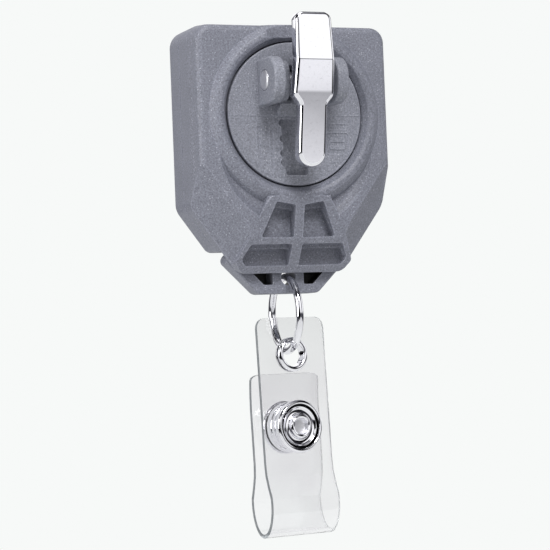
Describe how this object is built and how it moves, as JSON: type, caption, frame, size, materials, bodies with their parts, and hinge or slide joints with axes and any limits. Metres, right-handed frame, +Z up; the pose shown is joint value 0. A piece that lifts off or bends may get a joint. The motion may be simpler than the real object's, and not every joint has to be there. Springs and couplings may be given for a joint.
{
  "type": "retractable badge reel",
  "caption": "Retractable badge reel: plastic case on a swivel spring clip, with a cord-end fitting, a jump ring and a clear vinyl strap closed by a snap.",
  "frame": {"origin": "middle of the floor of the grip recess in the swivel disc, under the lever's tongue, where cloth is pinched", "axes": "+Z up along the hanging strap towards the top of the case; -Y out of the clip side; +Y out of the label side; +X to the right as seen from the clip side"},
  "size_m": [0.0328, 0.023, 0.0809],
  "materials": {
    "case_plastic": "fine satin texture, lightly speckled grey",
    "nickel": "bright nickel plate",
    "spring_steel": "plain drawn or rolled spring steel",
    "clear_vinyl": "clear flexible vinyl sheet",
    "spool_plastic": "moulded acetal",
    "cord": "braided nylon cord",
    "brass": "turned brass"
  },
  "bodies": {
    "clip_base": {"swivel_disc": "case_plastic", "hinge_pin": "nickel", "torsion_spring": "spring_steel", "retaining_washer": "spring_steel", "retaining_screw": "spring_steel"},
    "lever": {"clip_lever": "nickel"},
    "case": {"rear_cover": "case_plastic", "front_cover": "case_plastic", "axle_post": "spring_steel", "thrust_washer": "spring_steel", "cord_bush": "brass"},
    "spool": {"spool": "spool_plastic", "spool_cap": "spool_plastic", "power_spring": "spring_steel", "wound_cord": "cord"},
    "cord_end": {"end_fitting": "case_plastic", "cord_crimp": "brass", "cord_lead": "cord"},
    "ring": {"jump_ring": "nickel"},
    "strap": {"strap_long_leaf": "clear_vinyl", "eyelet": "nickel", "snap_post": "nickel", "snap_stud": "nickel"},
    "flap": {"strap_short_leaf": "clear_vinyl", "snap_socket": "nickel", "snap_spring": "spring_steel", "snap_cap": "nickel"}
  },
  "joints": [
    {"name": "lever_hinge", "type": "hinge", "parent": "clip_base", "child": "lever", "pos_m": [0, -0.0039, 0.0098], "axis": [-1, 0, 0], "range_deg": [0, 28], "stiffness_Nm_per_rad": 0.02, "springref_deg": -34.38, "deforming": ["torsion_spring"]},
    {"name": "case_swivel", "type": "hinge", "parent": "clip_base", "child": "case", "pos_m": [0, -0.0008, 0.005], "axis": [0, 1, 0], "continuous": true},
    {"name": "cord_pull", "type": "slide", "parent": "case", "child": "cord_end", "axis": [0, 0, -1], "range_m": [0, 0.86], "stiffness_N_per_m": 1.3, "springref_m": -0.7, "deforming": ["cord_lead"]},
    {"name": "spool_turn", "type": "hinge", "parent": "case", "child": "spool", "pos_m": [0, -0.0008, 0.004], "axis": [0, -1, 0], "range_deg": [0, 4760]},
    {"name": "ring_swing", "type": "hinge", "parent": "cord_end", "child": "ring", "pos_m": [0, 0.00645, -0.02035], "axis": [0, 1, 0], "range_deg": [-42, 42]},
    {"name": "strap_swing", "type": "hinge", "parent": "ring", "child": "strap", "pos_m": [0, 0.00645, -0.02615], "axis": [1, 0, 0], "range_deg": [-42, 42]},
    {"name": "flap_open", "type": "hinge", "parent": "strap", "child": "flap", "pos_m": [-0.00001, 0.00482, -0.06089], "axis": [-0.9781, -0.2079, 0], "range_deg": [0, 40]}
  ],
  "couplings": [
    {"joint": "spool_turn", "follows": "cord_pull", "rad_per_m": 96.15}
  ]
}
